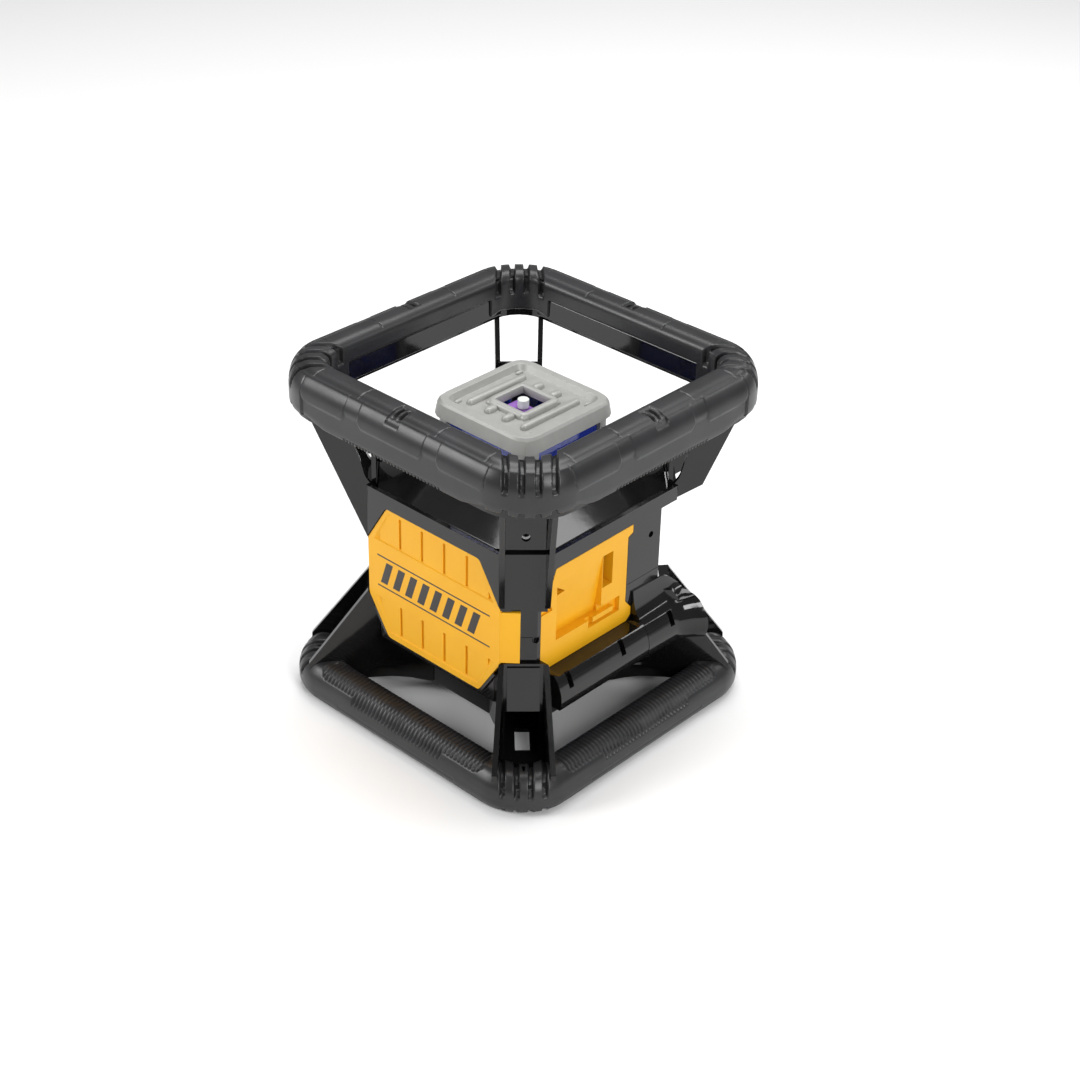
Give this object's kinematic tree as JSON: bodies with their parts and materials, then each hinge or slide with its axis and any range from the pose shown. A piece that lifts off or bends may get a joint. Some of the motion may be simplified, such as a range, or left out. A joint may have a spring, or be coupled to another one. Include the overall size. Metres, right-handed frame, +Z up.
{
  "type": "rotating laser level",
  "caption": "Self-levelling rotary laser in a square impact cage with soft grip rings, keypad, tripod threads and an open battery bay.",
  "frame": {"origin": "centre of the bottom ring's resting plane", "axes": "+Z up along the rotor, -Y out of the front panel, +X out of the battery bay"},
  "size_m": [0.248, 0.248, 0.262],
  "materials": {
    "gloss_black_plastic": "glossy moulded black plastic",
    "grip_rubber": "satin dark grey overmould",
    "yellow_plastic": "satin warm yellow moulded plastic",
    "satin_black_plastic": "fine grained satin black plastic",
    "cast_aluminium": "sand-cast grey with a fine grain",
    "steel": "turned and ground",
    "brass": "turned",
    "clear_glass": "polished, coated",
    "prism_glass": "violet coated optical glass",
    "board_green": "solder-masked circuit board",
    "key_grey": "moulded key caps",
    "key_red": "moulded power key",
    "lens_red": "translucent red lens",
    "belt_rubber": "flat belt",
    "alloy": "die cast, machined"
  },
  "bodies": {
    "housing": {"top_frame": "gloss_black_plastic", "top_grip": "grip_rubber", "bottom_frame": "gloss_black_plastic", "bottom_grip": "grip_rubber", "lower_housing": "gloss_black_plastic", "upper_housing": "gloss_black_plastic", "pedestal": "gloss_black_plastic", "front_panel": "yellow_plastic", "side_mount_plate": "satin_black_plastic", "side_tripod_insert": "brass", "bottom_tripod_insert": "brass", "battery_bay": "yellow_plastic", "terminal_block": "satin_black_plastic", "terminal_blade_lower": "brass", "terminal_blade_upper": "brass", "keypad_panel": "satin_black_plastic", "status_lens": "lens_red", "keypad_board": "board_green", "main_board": "board_green", "roll_cage": "cast_aluminium", "window_pane_front": "clear_glass", "window_pane_battery": "clear_glass", "window_pane_keypad": "clear_glass", "window_pane_mount": "clear_glass", "gimbal_chassis": "alloy", "levelling_motor_x": "steel"},
    "outer_gimbal": {"gimbal_ring": "alloy", "levelling_motor_y": "steel"},
    "inner_gimbal": {"laser_tube": "alloy", "laser_module": "brass", "collimator_lens": "clear_glass", "tilt_sensor_x": "satin_black_plastic", "tilt_sensor_y": "satin_black_plastic", "spindle_bearing_1": "steel", "spindle_bearing_2": "steel", "spin_motor": "steel", "drive_belt": "belt_rubber"},
    "rotor": {"spindle": "steel", "encoder_disc": "clear_glass", "spindle_pulley": "satin_black_plastic", "rotor_head": "satin_black_plastic", "pentaprism": "prism_glass", "plumb_window": "clear_glass"},
    "motor_pulley": {"motor_pulley": "satin_black_plastic"},
    "levelling_screw_x": {"levelling_screw_x": "steel"},
    "levelling_nut_x": {"levelling_nut_x": "brass"},
    "levelling_screw_y": {"levelling_screw_y": "steel"},
    "levelling_nut_y": {"levelling_nut_y": "brass"},
    "power_button": {"power_button": "key_red"},
    "speed_button": {"speed_button": "key_grey"},
    "scan_button": {"scan_button": "key_grey"},
    "axis_button": {"axis_button": "key_grey"},
    "alert_button": {"alert_button": "key_grey"},
    "up_button": {"up_button": "key_grey"},
    "down_button": {"down_button": "key_grey"},
    "left_button": {"left_button": "key_grey"},
    "right_button": {"right_button": "key_grey"}
  },
  "joints": [
    {"name": "level_tilt_x", "type": "hinge", "parent": "housing", "child": "outer_gimbal", "pos_m": [0, 0, 0.15], "axis": [1, 0, 0], "range_deg": [-5, 5]},
    {"name": "level_tilt_y", "type": "hinge", "parent": "outer_gimbal", "child": "inner_gimbal", "pos_m": [0, 0, 0.15], "axis": [0, 1, 0], "range_deg": [-5, 5]},
    {"name": "rotor_spin", "type": "hinge", "parent": "inner_gimbal", "child": "rotor", "pos_m": [0, 0, 0.18], "axis": [0, 0, 1], "continuous": true},
    {"name": "motor_spin", "type": "hinge", "parent": "inner_gimbal", "child": "motor_pulley", "pos_m": [0, -0.034, 0.172], "axis": [0, 0, 1], "continuous": true},
    {"name": "nut_x_slide", "type": "slide", "parent": "housing", "child": "levelling_nut_x", "axis": [0, 0, 1], "range_m": [-0.00459, 0.00459]},
    {"name": "nut_y_slide", "type": "slide", "parent": "outer_gimbal", "child": "levelling_nut_y", "axis": [0, 0, 1], "range_m": [-0.00472, 0.00472]},
    {"name": "screw_x_spin", "type": "hinge", "parent": "housing", "child": "levelling_screw_x", "pos_m": [0, 0.06, 0.147], "axis": [0, 0, 1], "range_deg": [-414, 414]},
    {"name": "screw_y_spin", "type": "hinge", "parent": "outer_gimbal", "child": "levelling_screw_y", "pos_m": [-0.062, -0.022, 0.14], "axis": [0, 0, 1], "range_deg": [-426, 426]},
    {"name": "power_press", "type": "slide", "parent": "housing", "child": "power_button", "axis": [0, -1, 0], "range_m": [0, 0.0008], "stiffness_N_per_m": 400},
    {"name": "speed_press", "type": "slide", "parent": "housing", "child": "speed_button", "axis": [0, -1, 0], "range_m": [0, 0.0008], "stiffness_N_per_m": 400},
    {"name": "scan_press", "type": "slide", "parent": "housing", "child": "scan_button", "axis": [0, -1, 0], "range_m": [0, 0.0008], "stiffness_N_per_m": 400},
    {"name": "axis_press", "type": "slide", "parent": "housing", "child": "axis_button", "axis": [0, -1, 0], "range_m": [0, 0.0008], "stiffness_N_per_m": 400},
    {"name": "alert_press", "type": "slide", "parent": "housing", "child": "alert_button", "axis": [0, -1, 0], "range_m": [0, 0.0008], "stiffness_N_per_m": 400},
    {"name": "up_press", "type": "slide", "parent": "housing", "child": "up_button", "axis": [0, -1, 0], "range_m": [0, 0.0008], "stiffness_N_per_m": 400},
    {"name": "down_press", "type": "slide", "parent": "housing", "child": "down_button", "axis": [0, -1, 0], "range_m": [0, 0.0008], "stiffness_N_per_m": 400},
    {"name": "left_press", "type": "slide", "parent": "housing", "child": "left_button", "axis": [0, -1, 0], "range_m": [0, 0.0008], "stiffness_N_per_m": 400},
    {"name": "right_press", "type": "slide", "parent": "housing", "child": "right_button", "axis": [0, -1, 0], "range_m": [0, 0.0008], "stiffness_N_per_m": 400}
  ],
  "couplings": [
    {"joint": "motor_spin", "follows": "rotor_spin", "ratio": 2.8},
    {"joint": "nut_x_slide", "follows": "level_tilt_x", "m_per_rad": 0.0525},
    {"joint": "screw_x_spin", "follows": "level_tilt_x", "ratio": 82.467},
    {"joint": "nut_y_slide", "follows": "level_tilt_y", "m_per_rad": 0.054},
    {"joint": "screw_y_spin", "follows": "level_tilt_y", "ratio": 84.823}
  ]
}
